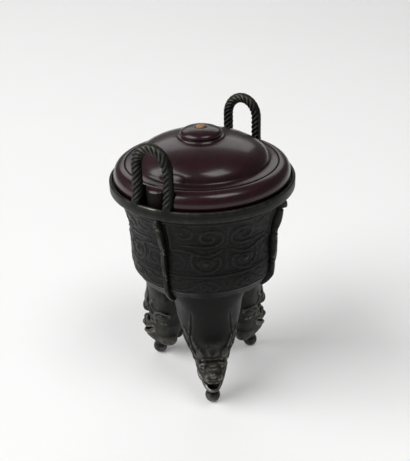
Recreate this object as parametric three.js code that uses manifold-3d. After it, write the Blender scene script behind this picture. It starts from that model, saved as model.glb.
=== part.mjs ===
// Bronze tripod censer with a turned wooden cover.
// Millimetres, +Z up. The origin is on the axis, on the plane that the three ball feet stand on.
// The loop handles stand on the X axis, at -X and at +X.

import * as THREE from "three";
import { LoftGeometry } from "three/addons/geometries/LoftGeometry.js";
import { mergeVertices } from "three/addons/utils/BufferGeometryUtils.js";
import Module from "manifold-3d";

const wasm = await Module();
wasm.setup();

// Bowl and rim
const RIM_RADIUS = 52.5;
const RIM_TOP = 136;
const RIM_BAND = 6;
const RIM_LIP = 2.1;
const LEDGE_DROP = 1.9;
const MOUTH_RADIUS = 45.4;
const WALL = 2.9;
const FLOOR_TOP = 71;
const FLOOR_UNDER = 66.5;
const RELIEF_FOOT = 80.6;
const LINE_HEIGHT = 93.5;
const LINE_HALF = 1.1;
const LINE_RISE = 0.6;
const BOWL_FACETS = 28;

// Flanges on the bowl
const FLANGE_TURNS = [3, 93, 183, 273];
const FLANGE_THICK = 2.2;
const FLANGE_TOP = 129.2;
const FLANGE_FOOT = 71.8;

// Handles
const HANDLE_TURNS = [0, 180];
const HANDLE_RADIUS = 47.4;
const HANDLE_HALF_WIDTH = 11.9;
const HANDLE_BAR = 5.2;
const HANDLE_DEPTH = 5;
const HANDLE_SPREAD = 1.5;
const HANDLE_TOP = 168.8;
const HANDLE_FOOT = 133;

// Legs
const LEG_TURNS = [-144, -24, 96];
const BALL_RADIUS = 4.6;
const BALL_OFFSET = 35.1;
const BALL_FLAT = 0.35;

// Cover
const COVER_REST = RIM_TOP - LEDGE_DROP + 0.3;
const COVER_RADIUS = 49.8;
const COVER_GROOVE = 43;
const TENON_RADIUS = 44.1;
const TENON_DEPTH = 3;
const NOTCH_HALF_WIDTH = 12.7;
const NOTCH_BACK = 44.4;
const TONGUE_TIP = 48.2;
const TONGUE_HALF_WIDTH = 5.6;
const COVER_FACETS = 28;
const PLUG_RADIUS = 2.8;
const PLUG_HOLE = 3.1;
const PLUG_FOOT = 159.5;
const KNOB_TOP = 163.4;

const DEG = Math.PI / 180;
const v2 = (x, y) => new THREE.Vector2(x, y);
const v3 = (x, y, z) => new THREE.Vector3(x, y, z);

// Turn a closed three.js geometry into a solid that can be joined and cut.
function solid(geometry) {
  const bare = new THREE.BufferGeometry().copy(geometry);
  bare.deleteAttribute("normal");
  bare.deleteAttribute("uv");
  const merged = mergeVertices(bare, 1e-4);
  const mesh = new wasm.Mesh({
    numProp: 3,
    vertProperties: new Float32Array(merged.attributes.position.array),
    triVerts: new Uint32Array(merged.index.array),
  });
  const made = new wasm.Manifold(mesh);
  if (made.volume() <= 0) throw new Error("a solid is turned inside out");
  return made;
}

// Turn a finished solid back into a three.js geometry with flat facets.
function geometryOf(made) {
  const mesh = made.getMesh();
  const geometry = new THREE.BufferGeometry();
  const positions = new Float32Array(mesh.numVert * 3);
  for (let i = 0; i < mesh.numVert; i += 1) {
    for (let k = 0; k < 3; k += 1) positions[3 * i + k] = mesh.vertProperties[mesh.numProp * i + k];
  }
  geometry.setAttribute("position", new THREE.BufferAttribute(positions, 3));
  geometry.setIndex(new THREE.BufferAttribute(new Uint32Array(mesh.triVerts), 1));
  geometry.computeVertexNormals();
  return geometry;
}

const joined = (solids) => solids.reduce((whole, next) => whole.add(next));

// A turned solid: profile points are radius and height, from the axis below to the axis above.
function turned(profile, facets) {
  const geometry = new THREE.LatheGeometry(profile.map(([r, z]) => v2(r, z)), facets);
  geometry.rotateX(Math.PI / 2);
  return solid(geometry);
}

// Linear reading of a table of stations, sorted by their first number.
function read(table, at, column) {
  let k = 0;
  while (k < table.length - 2 && at > table[k + 1][0]) k += 1;
  const low = table[k];
  const high = table[k + 1];
  const part = THREE.MathUtils.clamp((at - low[0]) / (high[0] - low[0]), 0, 1);
  return low[column] + (high[column] - low[column]) * part;
}

// Outside of the bowl: height, radius.
const BOWL_OUTSIDE = [
  [FLOOR_UNDER + 0.7, 20],
  [70.4, 32],
  [75, 38.4],
  [RELIEF_FOOT - 0.4, 41.3],
  [RELIEF_FOOT + 0.3, 42],
  [88.5, 43],
  [LINE_HEIGHT, 42.8],
  [108, 43.2],
  [116, 44.3],
  [122.5, 46.2],
  [RIM_TOP - RIM_BAND - 0.2, 48.7],
];
const bowlRadius = (z) => read(BOWL_OUTSIDE, z, 1);

function makeBowl() {
  const line = bowlRadius(LINE_HEIGHT);
  const ridge = [
    [line, LINE_HEIGHT - LINE_HALF - 0.3],
    [line + LINE_RISE, LINE_HEIGHT - LINE_HALF],
    [line + LINE_RISE, LINE_HEIGHT + LINE_HALF],
    [line, LINE_HEIGHT + LINE_HALF + 0.3],
  ];
  const below = BOWL_OUTSIDE.filter(([z]) => z < LINE_HEIGHT - 3).map(([z, r]) => [r, z]);
  const above = BOWL_OUTSIDE.filter(([z]) => z > LINE_HEIGHT + 3).map(([z, r]) => [r, z]);
  const rim = [
    [RIM_RADIUS - 0.4, RIM_TOP - RIM_BAND],
    [RIM_RADIUS, RIM_TOP - RIM_BAND + 0.4],
    [RIM_RADIUS, RIM_TOP - 0.5],
    [RIM_RADIUS - 0.5, RIM_TOP],
  ];
  return turned([[0, FLOOR_UNDER], ...below, ...ridge, ...above, ...rim, [0, RIM_TOP]], BOWL_FACETS);
}

// The empty inside of the bowl, with the ledge that the cover rests on.
function makeHollow() {
  const ledge = RIM_TOP - LEDGE_DROP;
  const lip = RIM_RADIUS - RIM_LIP;
  const profile = [
    [0, FLOOR_TOP],
    [27, FLOOR_TOP + 2],
    [36.6, 79],
    [bowlRadius(88.5) - WALL, 88.5],
    [bowlRadius(110) - WALL, 110],
    [bowlRadius(120) - WALL, 120],
    [MOUTH_RADIUS, 130],
    [MOUTH_RADIUS, ledge],
    [lip, ledge],
    [lip, RIM_TOP + 4],
    [0, RIM_TOP + 4],
  ];
  return turned(profile, BOWL_FACETS);
}

// One vertical flange: a hook under the rim, then three convex lobes split by small notches.
function makeFlange(turn) {
  const shape = new THREE.Shape();
  const inner = (z) => bowlRadius(z) - 1.6;
  shape.moveTo(inner(FLANGE_FOOT + 1), FLANGE_FOOT + 1);
  shape.lineTo(38.2, FLANGE_FOOT);
  shape.quadraticCurveTo(42.6, 75.4, 44.8, 80);
  shape.lineTo(45.4, 84.5);
  shape.quadraticCurveTo(45.9, 88.5, 45.2, 90.6);
  shape.lineTo(44.5, 91.2);
  shape.lineTo(45.2, 91.9);
  shape.quadraticCurveTo(46.7, 95, 46.8, 99.5);
  shape.quadraticCurveTo(47, 104.5, 46.3, 107.4);
  shape.lineTo(45.5, 108.1);
  shape.lineTo(46.3, 108.8);
  shape.quadraticCurveTo(48.4, 112.5, 49.1, 117);
  shape.quadraticCurveTo(49.8, 120.5, 49.6, 122.4);
  shape.lineTo(48.8, 123.2);
  shape.quadraticCurveTo(50, 124.4, 51.8, 125);
  shape.quadraticCurveTo(52.2, 127.4, 50.8, 128.8);
  shape.lineTo(49.6, FLANGE_TOP);
  shape.lineTo(46.8, FLANGE_TOP);
  shape.lineTo(inner(121), 121);
  shape.lineTo(inner(112), 112);
  shape.lineTo(inner(88), 88);
  shape.lineTo(inner(80), 80);
  shape.lineTo(inner(75), 75);
  const options = { depth: FLANGE_THICK, bevelEnabled: false, curveSegments: 2 };
  const geometry = new THREE.ExtrudeGeometry(shape, options);
  geometry.translate(0, 0, -FLANGE_THICK / 2);
  geometry.rotateX(Math.PI / 2);
  geometry.rotateZ(turn * DEG);
  return solid(geometry);
}

// One loop handle: a flat outer band with a round rope strand inside it. Its feet spread onto the rim.
function makeHandle(turn) {
  const bar = HANDLE_BAR / 2;
  const deep = HANDLE_DEPTH / 2;
  const half = [
    [bar, deep - 0.7],
    [bar - 0.7, deep],
    [bar - 2, deep - 0.45],
    [-0.6, deep],
    [-bar + 0.2, deep - 1.3],
  ];
  const outline = [...half, ...half.slice().reverse().map(([p, q]) => [p, -q])];
  const arch = HANDLE_HALF_WIDTH - bar;
  const archCentre = HANDLE_TOP - HANDLE_HALF_WIDTH - 1.4;
  const feet = [[HANDLE_FOOT, HANDLE_SPREAD], [RIM_TOP + 3.6, 0]];
  const path = feet.map(([z, spread]) => [-arch, z, -1, 0, spread]);
  const archSteps = 12;
  for (let k = 0; k <= archSteps; k += 1) {
    const angle = Math.PI * (1 - k / archSteps);
    const c = Math.cos(angle);
    const s = Math.sin(angle);
    path.push([arch * c, archCentre + (arch + 1.4) * s, c, s, 0]);
  }
  path.push(...feet.slice().reverse().map(([z, spread]) => [arch, z, 1, 0, spread]));
  const sections = path.map(([y, z, ny, nz, spread]) => (
    outline.map(([p, q]) => v3(HANDLE_RADIUS + q + (q > 0 ? spread : 0), y + p * ny, z + p * nz))
  ));
  const geometry = new LoftGeometry(sections, { capStart: true, capEnd: true });
  geometry.rotateZ(turn * DEG);
  return solid(geometry);
}

// Leg stations from the ball up: height, inner radius, outer radius, half width, narrowing outward.
const LEG = [
  [6.4, 31.4, 37.8, 3.4, 0],
  [8.6, 28, 40.4, 5, 0],
  [11.6, 24.6, 43.2, 6.2, 0.15],
  [15.6, 21.8, 45.8, 7.2, 0.28],
  [16.6, 21.3, 45.4, 7.5, 0.28],
  [17, 21.1, 37, 7.6, 0.1],
  [20.5, 19.7, 36.4, 8.2, 0.05],
  [20.9, 19.6, 44.4, 8.3, 0.24],
  [23.6, 18.9, 45.5, 8.9, 0.24],
  [27.6, 18.3, 43.6, 9.4, 0.22],
  [30.4, 18.1, 38.4, 9.8, 0.18],
  [32.6, 17.9, 39.8, 10.3, 0.18],
  [36, 17.5, 42, 11.2, 0.26],
  [41, 16.9, 42.9, 12.6, 0.32],
  [48, 16.2, 41.6, 14.8, 0.38],
  [54, 15.4, 39.6, 16.4, 0.38],
  [63, 14.6, 39.2, 18, 0.3],
  [76, 14, 40.8, 19.8, 0.1],
];

function legRing([z, inner, outer, half, narrow]) {
  const sides = 12;
  const middle = (inner + outer) / 2;
  const reach = (outer - inner) / 2;
  const squared = (value) => Math.sign(value) * Math.abs(value) ** 0.76;
  const ring = [];
  for (let k = 0; k < sides; k += 1) {
    const angle = (2 * Math.PI * (k + 0.5)) / sides;
    const out = squared(Math.cos(angle)) / squared(Math.cos(Math.PI / sides));
    const side = squared(Math.sin(angle));
    ring.push(v3(middle + reach * out, half * side * (1 - narrow * out), z));
  }
  return ring;
}

// A flattened ball, used for the eyes.
function lump(x, y, z, rx, ry, rz, sides, rows) {
  const geometry = new THREE.SphereGeometry(1, sides, rows);
  geometry.scale(rx, ry, rz);
  geometry.translate(x, y, z);
  return solid(geometry);
}

// The pointed ear on the side of a head, as a leaf-shaped plate.
function makeEar(side) {
  const leaf = new THREE.Shape();
  leaf.moveTo(31.7, 33.3);
  leaf.quadraticCurveTo(30.6, 37.5, 27.6, 39);
  leaf.quadraticCurveTo(21, 41.4, 16, 38.4);
  leaf.quadraticCurveTo(13.4, 35.6, 13.8, 32);
  leaf.quadraticCurveTo(18, 32.8, 22, 32);
  leaf.quadraticCurveTo(27, 31, 31.7, 33.3);
  const geometry = new THREE.ExtrudeGeometry(leaf, { depth: 3.6, bevelEnabled: false, curveSegments: 2 });
  geometry.rotateX(Math.PI / 2);
  geometry.translate(0, side > 0 ? 11.6 : -8, 0);
  return solid(geometry);
}

// A ridge swept along points, wide across its path and half sunk into the surface below it.
function ridge(points, out, width, rise, sink) {
  const sections = points.map((point, k) => {
    const before = points[Math.max(k - 1, 0)];
    const after = points[Math.min(k + 1, points.length - 1)];
    const along = after.clone().sub(before).normalize();
    const up = out(point).normalize();
    const across = up.clone().cross(along).normalize().multiplyScalar(width / 2);
    const low = point.clone().addScaledVector(up, -sink);
    const high = point.clone().addScaledVector(up, rise);
    return [
      low.clone().add(across),
      high.clone().addScaledVector(across, 0.6),
      high.clone().addScaledVector(across, -0.6),
      low.clone().sub(across),
    ];
  });
  const geometry = new LoftGeometry(sections, { capStart: true, capEnd: true });
  return solid(geometry);
}

// One beast-head leg on its ball foot, made along +X and turned into place.
function makeLeg(turn) {
  const body = solid(new LoftGeometry(LEG.map(legRing), { capStart: true, capEnd: true }));
  const ballProfile = [[0, 0]];
  const steps = 5;
  const first = Math.acos(1 - BALL_FLAT / BALL_RADIUS);
  for (let k = 0; k <= steps; k += 1) {
    const angle = first + (Math.PI - first) * (k / steps);
    const lift = BALL_RADIUS * (1 - Math.cos(angle)) - BALL_FLAT;
    ballProfile.push([k === steps ? 0 : BALL_RADIUS * Math.sin(angle), lift]);
  }
  const ball = turned(ballProfile, 12).translate([BALL_OFFSET, 0, 0]);
  const extras = [ball];
  for (const side of [-1, 1]) {
    extras.push(lump(42, side * 5.2, 26.8, 2, 2, 1.9, 8, 4));
    extras.push(makeEar(side));
    const block = new THREE.BoxGeometry(5.2, 3, 7.4);
    block.translate(33.6, side * 8.5, 31.6);
    extras.push(solid(block));
  }
  return joined([body, ...extras]).rotate([0, 0, turn]);
}

// A raised line of the mask ornament. Points are distance round the bowl from the flange, and height.
function maskLine(turn, side, points, width) {
  const place = ([t, z]) => {
    const angle = turn * DEG + (side * t) / 43;
    return v3(bowlRadius(z) * Math.cos(angle), bowlRadius(z) * Math.sin(angle), z);
  };
  const out = (point) => v3(point.x, point.y, 0);
  return ridge(points.map(place), out, width, 0.65, 0.7);
}

// Half a mask beside one flange: eye, brow with a curled horn, and jaw hook.
const HORN = [
  [14, 111], [27.6, 111.8], [31, 115.6], [29.4, 119.6], [25, 120.6], [22, 118], [24.4, 115.4],
];
const JAW = [[22, 97.4], [29, 98.6], [31.6, 103], [29.6, 107.4]];

function makeHalfMask(turn, side) {
  const angle = turn * DEG + (side * 20.6) / 43;
  const eye = new THREE.SphereGeometry(1, 8, 4);
  eye.scale(1.5, 4, 2.6);
  eye.translate(bowlRadius(103.6), 0, 103.6);
  eye.rotateZ(angle);
  return joined([solid(eye), maskLine(turn, side, HORN, 1.9), maskLine(turn, side, JAW, 1.9)]);
}

function makeBronze() {
  const outside = [makeBowl(), ...LEG_TURNS.map(makeLeg)];
  const cast = joined(outside).subtract(makeHollow());
  const ornament = [];
  for (const turn of FLANGE_TURNS) {
    ornament.push(makeFlange(turn));
    ornament.push(makeHalfMask(turn, 1));
    ornament.push(makeHalfMask(turn, -1));
  }
  return joined([cast, ...ornament, ...HANDLE_TURNS.map(makeHandle)]);
}

// The cover, turned from one block and hollowed below. Each handle has a notch with a round tongue in it.
function makeCover() {
  const profile = [
    [0, 151],
    [26, 147.4],
    [39, 138],
    [39.6, COVER_REST - TENON_DEPTH],
    [TENON_RADIUS, COVER_REST - TENON_DEPTH],
    [TENON_RADIUS, COVER_REST],
    [COVER_RADIUS - 0.8, COVER_REST],
    [COVER_RADIUS, COVER_REST + 2.6],
    [COVER_RADIUS - 0.4, COVER_REST + 5.6],
    [COVER_RADIUS - 1.9, COVER_REST + 8.2],
    [COVER_RADIUS - 4, COVER_REST + 9.6],
    [COVER_GROOVE + 0.8, COVER_REST + 10],
    [COVER_GROOVE, COVER_REST + 9.2],
    [COVER_GROOVE - 0.7, COVER_REST + 10],
    [38.2, 145],
    [37.5, 146],
    [36, 148.8],
    [32, 152],
    [25, 155.2],
    [13.4, 157.7],
    [12.7, 158.6],
    [11.2, 158.6],
    [11.8, 159.6],
    [11, 161],
    [8, 162.5],
    [0, KNOB_TOP],
  ];
  const plan = new THREE.Shape();
  const corner = 2;
  const tongue = TONGUE_HALF_WIDTH;
  plan.moveTo(TONGUE_TIP, 0);
  plan.quadraticCurveTo(TONGUE_TIP, -tongue, NOTCH_BACK, -tongue - 0.4);
  plan.lineTo(NOTCH_BACK, -NOTCH_HALF_WIDTH + corner);
  plan.quadraticCurveTo(NOTCH_BACK, -NOTCH_HALF_WIDTH, NOTCH_BACK + corner, -NOTCH_HALF_WIDTH);
  plan.lineTo(60, -NOTCH_HALF_WIDTH);
  plan.lineTo(60, NOTCH_HALF_WIDTH);
  plan.lineTo(NOTCH_BACK + corner, NOTCH_HALF_WIDTH);
  plan.quadraticCurveTo(NOTCH_BACK, NOTCH_HALF_WIDTH, NOTCH_BACK, NOTCH_HALF_WIDTH - corner);
  plan.lineTo(NOTCH_BACK, tongue + 0.4);
  plan.quadraticCurveTo(TONGUE_TIP, tongue, TONGUE_TIP, 0);
  const notch = new THREE.ExtrudeGeometry(plan, { depth: 30, bevelEnabled: false, curveSegments: 4 });
  notch.translate(0, 0, COVER_REST);
  const cut = solid(notch);
  const hole = turned([[0, PLUG_FOOT - 0.3], [PLUG_HOLE, PLUG_FOOT - 0.3], [PLUG_HOLE, 170], [0, 170]], 24);
  return turned(profile, COVER_FACETS).subtract(cut).subtract(cut.rotate([0, 0, 180])).subtract(hole);
}

// The little plug let into the top of the knob, a shade proud of it.
function makePlug() {
  const profile = [
    [0, PLUG_FOOT],
    [PLUG_RADIUS, PLUG_FOOT],
    [PLUG_RADIUS, KNOB_TOP + 0.1],
    [PLUG_RADIUS - 0.6, KNOB_TOP + 0.5],
    [0, KNOB_TOP + 0.7],
  ];
  return turned(profile, 20);
}

const bronze = new THREE.MeshStandardMaterial({ color: 0x2b2a26, roughness: 0.45, metalness: 0.85 });
const hardwood = new THREE.MeshStandardMaterial({ color: 0x35161a, roughness: 0.25, metalness: 0 });
const amber = new THREE.MeshStandardMaterial({ color: 0x9a6a3c, roughness: 0.4, metalness: 0.2 });

function named(name, made, material) {
  const mesh = new THREE.Mesh(geometryOf(made), material);
  mesh.name = name;
  return mesh;
}

const group = new THREE.Group();
group.name = "censer";
group.add(named("bronze_casting", makeBronze(), bronze));
group.add(named("wooden_cover", makeCover(), hardwood));
group.add(named("knob_plug", makePlug(), amber));

export default group;
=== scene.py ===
import math

import bmesh
import bpy
import numpy as np
from bpy.props import FloatProperty, FloatVectorProperty, IntProperty, PointerProperty
from mathutils import Matrix, Vector


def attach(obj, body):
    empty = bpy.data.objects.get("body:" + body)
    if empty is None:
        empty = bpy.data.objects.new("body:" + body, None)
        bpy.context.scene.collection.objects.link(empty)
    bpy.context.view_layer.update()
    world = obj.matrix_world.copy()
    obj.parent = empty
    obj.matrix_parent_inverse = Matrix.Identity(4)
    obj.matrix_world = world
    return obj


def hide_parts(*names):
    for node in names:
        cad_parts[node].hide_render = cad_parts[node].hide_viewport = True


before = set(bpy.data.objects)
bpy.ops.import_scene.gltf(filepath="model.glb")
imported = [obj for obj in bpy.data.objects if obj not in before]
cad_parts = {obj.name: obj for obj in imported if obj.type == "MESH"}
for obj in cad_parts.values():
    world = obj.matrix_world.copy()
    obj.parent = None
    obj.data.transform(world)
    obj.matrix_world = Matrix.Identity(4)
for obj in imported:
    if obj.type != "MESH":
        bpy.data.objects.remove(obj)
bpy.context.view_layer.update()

bl_info = {
    "name": "Bronze Tripod Censer",
    "version": (1, 0, 0),
    "blender": (4, 5, 0),
    "location": "3D View > Sidebar > Censer",
    "description": "Cast bronze censer on beast-head legs, with a turned hardwood cover",
    "category": "Object",
}

# Everything is modelled in millimetres and brought to metres when a piece is finished.
MM = 0.001
TAU = 2 * math.pi

# Outside of the bowl: height, radius.
BOWL_OUTSIDE = (
    (66.5, 0), (66.7, 14), (67.6, 22), (70.4, 32), (72.4, 35.4), (75, 38.4), (77.6, 40.2), (80.2, 41.4),
    (81, 42), (88.5, 43), (93.5, 42.8), (102, 42.9), (108, 43.2), (116, 44.3), (122.5, 46.2), (129.6, 48.7),
)
RELIEF_FOOT = 81.0
RELIEF_TOP = 127.6
FLANGE_TURNS = (3, 93, 183, 273)
LEG_TURNS = (-144, -24, 96)
MASK_RADIUS = 43.0
# Half the way round the bowl from one flange to the next.
MASK_END = 33.77
# Edges that bend more than this are shaded sharp.
SHARP_DEGREES = 50

# Leg stations from the ball up: height, inner radius, outer radius, half width, narrowing outward.
LEG = (
    (5.6, 32.4, 37.2, 2.6, 0), (6.6, 31.4, 37.6, 3.3, 0), (8.6, 30, 38, 4, 0), (10.5, 27, 39.2, 4.9, 0.1),
    (12, 25.2, 41.9, 5.7, 0.15), (14.2, 22.8, 45, 6.5, 0.28), (16, 21.6, 45.4, 7, 0.32),
    (18.6, 20.4, 45, 7.6, 0.32), (20.9, 19.6, 44.8, 8.2, 0.3), (23.6, 18.9, 45.3, 8.9, 0.28),
    (27.2, 18.3, 43.6, 9.7, 0.24), (30.6, 18.1, 40.6, 10.5, 0.18), (33.2, 17.9, 38.4, 11.2, 0.18),
    (35, 17.7, 39.6, 11.7, 0.22), (37.4, 17.3, 41.7, 12.4, 0.28), (41, 16.9, 42.8, 13.2, 0.32),
    (45, 16.5, 42.8, 14.2, 0.36), (50, 16, 41.4, 15.5, 0.38), (54, 15.4, 40.2, 16.5, 0.38),
    (63, 14.6, 39.3, 18.2, 0.3), (70, 14, 39.2, 20, 0.16), (76, 13, 39.4, 22, 0.05), (80, 12.5, 39.8, 23, 0),
)
LEG_TOP = 66
BALL_RADIUS = 4.6
BALL_PLACE = (35.1, 0, 4.25)
LEG_TRIANGLES = 20500

# Flanges: half thickness, then height and distance from the axis of the knobs at the lobes' ends.
FLANGE_HALF = 1.0
FLANGE_KNOBS = ((122.1, 49), (109.3, 46), (106.6, 46), (92.6, 45), (90, 45))

# Handles: distance of the loop's plane from the axis, foot and centre of the arch, its half width and rise.
HANDLE_TURNS = (0, 180)
HANDLE_PLANE = 47.4
HANDLE_FOOT = 132.6
HANDLE_CENTRE = 155.5
HANDLE_ARCH = 9.85
HANDLE_TALL = 11.2
ROPE_STRANDS = 5
ROPE_RADIUS = 2.9
ROPE_SIDES = 48
ROPE_START = 136.5
# The posts spread towards the rim, and stay inside its band.
SPREAD = 2.6
SPREAD_TOP = 144
SPREAD_RUN = 11.4
SPREAD_LIMIT = 52.42

# Cover: height of its seat, notches for the handles, and the round tongue left in each loop.
SEAT = 134.4
NOTCH_HALF = 12.7
NOTCH_BACK = 44.4
NOTCH_OUTER = 60
NOTCH_CORNER = 2
TONGUE_HALF = 6
TONGUE_TIP = 48.2
TONGUE_PULL = 5.6
# Turn of the noise that the wood's grain is read from, in radians.
GRAIN_TURN = 0.5

# Raised lines of half a mask: (distance round the bowl from the flange, height), half width, rise.
MASK_LINES = (
    (((3.4, 124.6), (3.4, 110.5), (4.2, 108.4), (9, 109.2), (14.2, 108.4), (18, 106.6), (22.6, 105.9),
      (27, 106.8), (30.6, 109)), 0.5, 1.0),
    (((15.4, 107.2), (14.6, 103), (16, 98.6), (19.4, 95.9), (24, 95.6), (28.4, 97.4), (30.6, 101.4),
      (29.4, 104.6), (26.8, 103.6)), 0.5, 1.0),
    (((9.4, 112.6), (16, 112.2), (25.6, 111.8), (30.2, 113.6), (31.6, 117.2), (29.8, 120.8), (25.6, 122.2),
      (21.2, 120.8), (19.8, 117.6), (21.8, 115), (25.4, 115), (27, 117.2), (25, 118.8)), 0.52, 1.0),
    (((6.2, 124), (12.6, 124.2), (16, 121.8), (15.2, 118.4), (11.4, 116.8), (8, 118.4), (8.4, 120.8),
      (11, 120.6)), 0.45, 0.8),
    (((6, 115.2), (12, 114.2), (17.6, 114.6)), 0.35, 0.6),
    (((9, 122.2), (12.4, 122.2), (13.6, 120.4)), 0.3, 0.55),
    (((3.4, 106.2), (8.4, 105.8), (11.2, 102.6), (10.4, 98.8), (7.4, 97.2), (4.8, 98.6), (5.6, 101),
      (7.6, 100.6)), 0.45, 0.8),
    (((12.8, 105.6), (13, 101), (11.8, 96.8)), 0.32, 0.6),
    (((17.6, 109.6), (23, 108.6), (28, 109.8), (31.6, 111.8)), 0.35, 0.6),
    (((18.4, 97.4), (23.6, 97.2), (27.4, 99)), 0.3, 0.5),
    (((MASK_END, 97), (MASK_END, 109.6)), 0.4, 0.6),
    (((MASK_END, 112.6), (MASK_END, 124.4)), 0.4, 0.7),
)
# Lower register: a long curling body, hooks and dashes.
REGISTER_LINES = (
    (((3.2, 84), (9.4, 83.6), (14, 85.4), (18, 88.6), (22.8, 89.8), (27.4, 88.4), (29.2, 85.8), (27.2, 83.8),
      (24.4, 84.4), (24.2, 86.2)), 0.48, 0.85),
    (((3, 88.6), (7.6, 88.2), (10.6, 90), (14.4, 90.6)), 0.42, 0.75),
    (((31, 90.2), (32.6, 87), (MASK_END, 84)), 0.42, 0.7),
    (((4, 86.2), (8.6, 86), (12.6, 87.6)), 0.3, 0.55),
    (((17.4, 83.6), (20.6, 83.6)), 0.4, 0.7),
    (((5, 91), (8, 91)), 0.4, 0.65),
    (((17.4, 91.2), (20.6, 91.2)), 0.4, 0.65),
    (((24, 91.2), (27.2, 91.2)), 0.4, 0.65),
)
# Lines round the bowl that part the registers: height, half width, rise.
BORDER_LINES = ((126.4, 0.55, 1.0), (94.5, 0.42, 1.05), (92.6, 0.42, 1.05), (81.9, 0.4, 0.8))
EYE_PLACE = (22.4, 101.2)
RING_PLACE = (20.8, 86.4)
RING_RADIUS = 1.5

# The camera as it was fitted to the photograph.
LENS = 53.457
SENSOR = 36
VIEW_PLACE = (-0.30319, -0.19024, 0.28768)
VIEW_AHEAD = (0.74999, 0.46865, -0.46678)
VIEW_RIGHT = (0.52992, -0.84805, 0)
VIEW_ROLL = -1.679


class CenserSizes(bpy.types.PropertyGroup):
    """Sizes and colours of the censer that a user would change."""

    rim_radius: FloatProperty(
        name="Rim radius", description="Outer radius of the bronze rim band",
        default=0.0525, min=0.05, max=0.055, unit="LENGTH")
    rim_top: FloatProperty(
        name="Rim height", description="Height of the rim's upper edge over the floor",
        default=0.136, min=0.134, max=0.138, unit="LENGTH")
    relief_rise: FloatProperty(
        name="Relief rise", description="How far the mask ornament stands out from the bowl",
        default=0.00055, min=0, max=0.0012, unit="LENGTH")
    bowl_steps: IntProperty(
        name="Bowl steps", description="Steps of the bowl's spin", default=400, min=64, max=480)
    rope_pitch: FloatProperty(
        name="Rope pitch", description="Distance between two grooves of the rope handles",
        default=0.0029, min=0.0012, max=0.006, unit="LENGTH")
    rope_groove: FloatProperty(
        name="Rope groove", description="Depth of the grooves between the rope's strands",
        default=0.0009, min=0, max=0.0015, unit="LENGTH")
    leg_voxel: FloatProperty(
        name="Leg grain", description="Smallest form that the cast legs keep",
        default=0.00046, min=0.0003, max=0.0015, unit="LENGTH")
    cover_radius: FloatProperty(
        name="Cover radius", description="Outer radius of the wooden cover's round ring",
        default=0.0498, min=0.048, max=0.05, unit="LENGTH")
    patina_color: FloatVectorProperty(
        name="Patina", description="Dark skin of the bronze",
        default=(0.0086, 0.0085, 0.0084), size=3, min=0, max=1, subtype="COLOR")
    worn_color: FloatVectorProperty(
        name="Worn bronze", description="Grey bronze where hands have rubbed the skin away",
        default=(0.2, 0.195, 0.176), size=3, min=0, max=1, subtype="COLOR")
    hardwood_color: FloatVectorProperty(
        name="Hardwood", description="Main colour of the cover",
        default=(0.0205, 0.0036, 0.0068), size=3, min=0, max=1, subtype="COLOR")
    plug_color: FloatVectorProperty(
        name="Plug", description="Amber brown of the knob's plug",
        default=(0.3, 0.15, 0.055), size=3, min=0, max=1, subtype="COLOR")
    floor_color: FloatVectorProperty(
        name="Floor", description="Colour of the pale floor",
        default=(0.86, 0.86, 0.855), size=3, min=0, max=1, subtype="COLOR")


# Curves

def curve_read(table, at):
    """Smooth reading of a table of pairs: cubic pieces whose slopes never overshoot."""
    xs = np.array([row[0] for row in table], float)
    ys = np.array([row[1] for row in table], float)
    step = np.diff(xs)
    slope = np.diff(ys) / step
    tangent = np.empty(len(xs))
    tangent[0], tangent[-1] = slope[0], slope[-1]
    flat = slope[:-1] * slope[1:] <= 0
    weight = 3 * (step[:-1] + step[1:])
    with np.errstate(divide="ignore", invalid="ignore"):
        mean = weight / ((2 * step[1:] + step[:-1]) / slope[:-1] + (step[1:] + 2 * step[:-1]) / slope[1:])
    tangent[1:-1] = np.where(flat, 0, mean)
    at = np.clip(np.asarray(at, float), xs[0], xs[-1])
    k = np.clip(np.searchsorted(xs, at, side="right") - 1, 0, len(xs) - 2)
    h = step[k]
    u = (at - xs[k]) / h
    return (ys[k] * (1 + 2 * u) * (1 - u) ** 2 + tangent[k] * h * u * (1 - u) ** 2
            + ys[k + 1] * u * u * (3 - 2 * u) + tangent[k + 1] * h * u * u * (u - 1))


def rounded_path(points, per=5):
    """A flowing line through points, as in a bent wire."""
    p = np.array(points, float)
    if len(p) < 3:
        return p
    ends = np.vstack([2 * p[0] - p[1], p, 2 * p[-1] - p[-2]])
    out = []
    for k in range(len(p) - 1):
        a, b, c, d = ends[k:k + 4]
        for u in np.arange(per) / per:
            out.append(0.5 * (2 * b + (c - a) * u + (2 * a - 5 * b + 4 * c - d) * u ** 2
                              + (3 * b - a - 3 * c + d) * u ** 3))
    out.append(p[-1])
    return np.array(out)


def bowl_radius(z):
    return curve_read(BOWL_OUTSIDE, z)


def rise(value, low, run):
    """0 up to a limit, then growing to 1 over a run."""
    return np.clip((value - low) / run, 0, 1)


def fall(value, high, run):
    """0 beyond a limit, and 1 where the value is a run or more below it."""
    return np.clip((high - value) / run, 0, 1)


# Shapes

def ring_loop(face, points):
    """Moves the corners of a face to a ring of points."""
    for loop, point in zip(face.loops, points):
        loop.vert.co = point


def skin(bm, rings):
    """A closed body through rings of points, drawn out from one face ring by ring."""
    made = bmesh.ops.create_circle(bm, cap_ends=True, segments=len(rings[0]), radius=1)
    face = made["verts"][0].link_faces[0]
    ring_loop(face, rings[0])
    for k, ring in enumerate(rings[1:]):
        drawn = bmesh.ops.extrude_face_region(bm, geom=[face])["geom"]
        if k:
            bmesh.ops.delete(bm, geom=[face], context="FACES_ONLY")
        face = next(part for part in drawn if isinstance(part, bmesh.types.BMFace))
        ring_loop(face, ring)


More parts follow.
